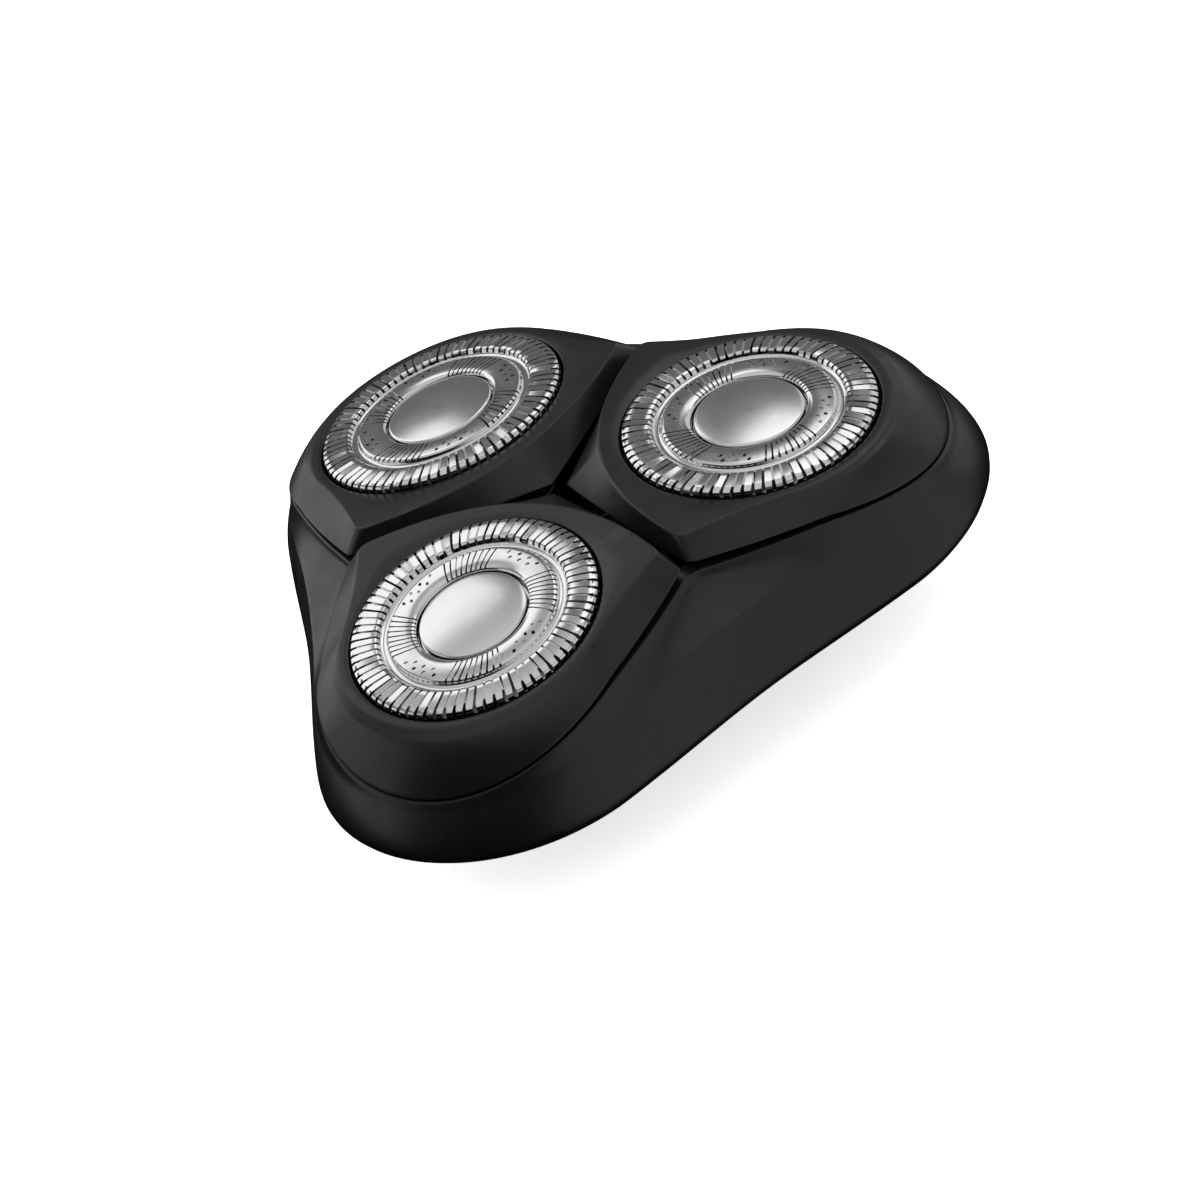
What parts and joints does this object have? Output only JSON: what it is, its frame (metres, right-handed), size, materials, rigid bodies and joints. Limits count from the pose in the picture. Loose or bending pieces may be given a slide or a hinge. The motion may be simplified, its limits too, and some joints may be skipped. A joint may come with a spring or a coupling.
{
  "type": "rotary shaving unit",
  "caption": "Three-lobed rotary shaving unit: tilting petals hold sprung slotted caps over spinning cutters, driven by a gear train behind a round neck.",
  "frame": {"origin": "on the drive axis, at the flat middle of the drive coupling's end face, inside the neck", "axes": "+Z along the drive axis out of the shaving side; the front head lies towards -Y, the right head at 30 degrees and the left head at 150 degrees from +X"},
  "size_m": [0.0686, 0.0642, 0.0246],
  "materials": {
    "black_plastic": "satin black moulded plastic, fine and even, softly reflective",
    "inner_plastic": "dark grey moulded plastic, matte",
    "pale_plastic": "off-white low-friction gear plastic, matte",
    "rubber": "soft black seal rubber",
    "polished_steel": "polished stainless steel",
    "steel": "plain machined stainless steel"
  },
  "bodies": {
    "unit_frame": {"housing_shell": "black_plastic", "base_cover": "inner_plastic", "neck_seal_ring": "rubber", "gearbox_plate": "inner_plastic", "carrier_frame": "inner_plastic", "base_screw_front": "steel", "carrier_screw_front": "steel", "pivot_pin_front": "steel", "petal_spring_front": "steel", "base_screw_right": "steel", "carrier_screw_right": "steel", "pivot_pin_right": "steel", "petal_spring_right": "steel", "base_screw_left": "steel", "carrier_screw_left": "steel", "pivot_pin_left": "steel", "petal_spring_left": "steel"},
    "drive": {"drive_coupling": "pale_plastic", "drive_gear": "pale_plastic"},
    "geartrain_front": {"driven_gear_front": "pale_plastic", "spindle_front": "steel", "spindle_spring_front": "steel"},
    "petal_body_front": {"petal_front": "black_plastic", "retaining_ring_front": "inner_plastic"},
    "cap_body_front": {"guard_cap_front": "polished_steel", "centre_disc_front": "polished_steel"},
    "cutter_body_front": {"cutter_front": "steel", "cutter_coupler_front": "pale_plastic"},
    "geartrain_right": {"driven_gear_right": "pale_plastic", "spindle_right": "steel", "spindle_spring_right": "steel"},
    "petal_body_right": {"petal_right": "black_plastic", "retaining_ring_right": "inner_plastic"},
    "cap_body_right": {"guard_cap_right": "polished_steel", "centre_disc_right": "polished_steel"},
    "cutter_body_right": {"cutter_right": "steel", "cutter_coupler_right": "pale_plastic"},
    "geartrain_left": {"driven_gear_left": "pale_plastic", "spindle_left": "steel", "spindle_spring_left": "steel"},
    "petal_body_left": {"petal_left": "black_plastic", "retaining_ring_left": "inner_plastic"},
    "cap_body_left": {"guard_cap_left": "polished_steel", "centre_disc_left": "polished_steel"},
    "cutter_body_left": {"cutter_left": "steel", "cutter_coupler_left": "pale_plastic"}
  },
  "joints": [
    {"name": "drive_spin", "type": "hinge", "parent": "unit_frame", "child": "drive", "pos_m": [0, 0, 0], "axis": [0, 0, 1], "continuous": true},
    {"name": "driven_gear_spin_front", "type": "hinge", "parent": "unit_frame", "child": "geartrain_front", "pos_m": [0, -0.0176, 0.0081], "axis": [0, 0, 1], "continuous": true},
    {"name": "petal_tilt_front", "type": "hinge", "parent": "unit_frame", "child": "petal_body_front", "pos_m": [0, -0.02806, 0.01482], "axis": [-1, 0, 0], "range_deg": [0, 2], "stiffness_Nm_per_rad": 0.2, "springref_deg": -2.86, "deforming": ["petal_spring_front"]},
    {"name": "cap_press_front", "type": "slide", "parent": "petal_body_front", "child": "cap_body_front", "axis": [0, -0.1148, 0.9934], "range_m": [-0.0008, 0], "stiffness_N_per_m": 300, "springref_m": 0.002},
    {"name": "cutter_spin_front", "type": "hinge", "parent": "cap_body_front", "child": "cutter_body_front", "pos_m": [0, -0.01822, 0.022], "axis": [0, -0.1148, 0.9934], "continuous": true},
    {"name": "driven_gear_spin_right", "type": "hinge", "parent": "unit_frame", "child": "geartrain_right", "pos_m": [0.01524, 0.0088, 0.0081], "axis": [0, 0, 1], "continuous": true},
    {"name": "petal_tilt_right", "type": "hinge", "parent": "unit_frame", "child": "petal_body_right", "pos_m": [0.0243, 0.01403, 0.01482], "axis": [0.5, -0.866, 0], "range_deg": [0, 2], "stiffness_Nm_per_rad": 0.2, "springref_deg": -2.86, "deforming": ["petal_spring_right"]},
    {"name": "cap_press_right", "type": "slide", "parent": "petal_body_right", "child": "cap_body_right", "axis": [0.0994, 0.0574, 0.9934], "range_m": [-0.0008, 0], "stiffness_N_per_m": 300, "springref_m": 0.002},
    {"name": "cutter_spin_right", "type": "hinge", "parent": "cap_body_right", "child": "cutter_body_right", "pos_m": [0.01578, 0.00911, 0.022], "axis": [0.0994, 0.0574, 0.9934], "continuous": true},
    {"name": "driven_gear_spin_left", "type": "hinge", "parent": "unit_frame", "child": "geartrain_left", "pos_m": [-0.01524, 0.0088, 0.0081], "axis": [0, 0, 1], "continuous": true},
    {"name": "petal_tilt_left", "type": "hinge", "parent": "unit_frame", "child": "petal_body_left", "pos_m": [-0.0243, 0.01403, 0.01482], "axis": [0.5, 0.866, 0], "range_deg": [0, 2], "stiffness_Nm_per_rad": 0.2, "springref_deg": -2.86, "deforming": ["petal_spring_left"]},
    {"name": "cap_press_left", "type": "slide", "parent": "petal_body_left", "child": "cap_body_left", "axis": [-0.0994, 0.0574, 0.9934], "range_m": [-0.0008, 0], "stiffness_N_per_m": 300, "springref_m": 0.002},
    {"name": "cutter_spin_left", "type": "hinge", "parent": "cap_body_left", "child": "cutter_body_left", "pos_m": [-0.01578, 0.00911, 0.022], "axis": [-0.0994, 0.0574, 0.9934], "continuous": true}
  ],
  "couplings": [
    {"joint": "driven_gear_spin_front", "follows": "drive_spin", "ratio": -1.2},
    {"joint": "cutter_spin_front", "follows": "drive_spin", "ratio": -1.2},
    {"joint": "driven_gear_spin_right", "follows": "drive_spin", "ratio": -1.2},
    {"joint": "cutter_spin_right", "follows": "drive_spin", "ratio": -1.2},
    {"joint": "driven_gear_spin_left", "follows": "drive_spin", "ratio": -1.2},
    {"joint": "cutter_spin_left", "follows": "drive_spin", "ratio": -1.2}
  ]
}
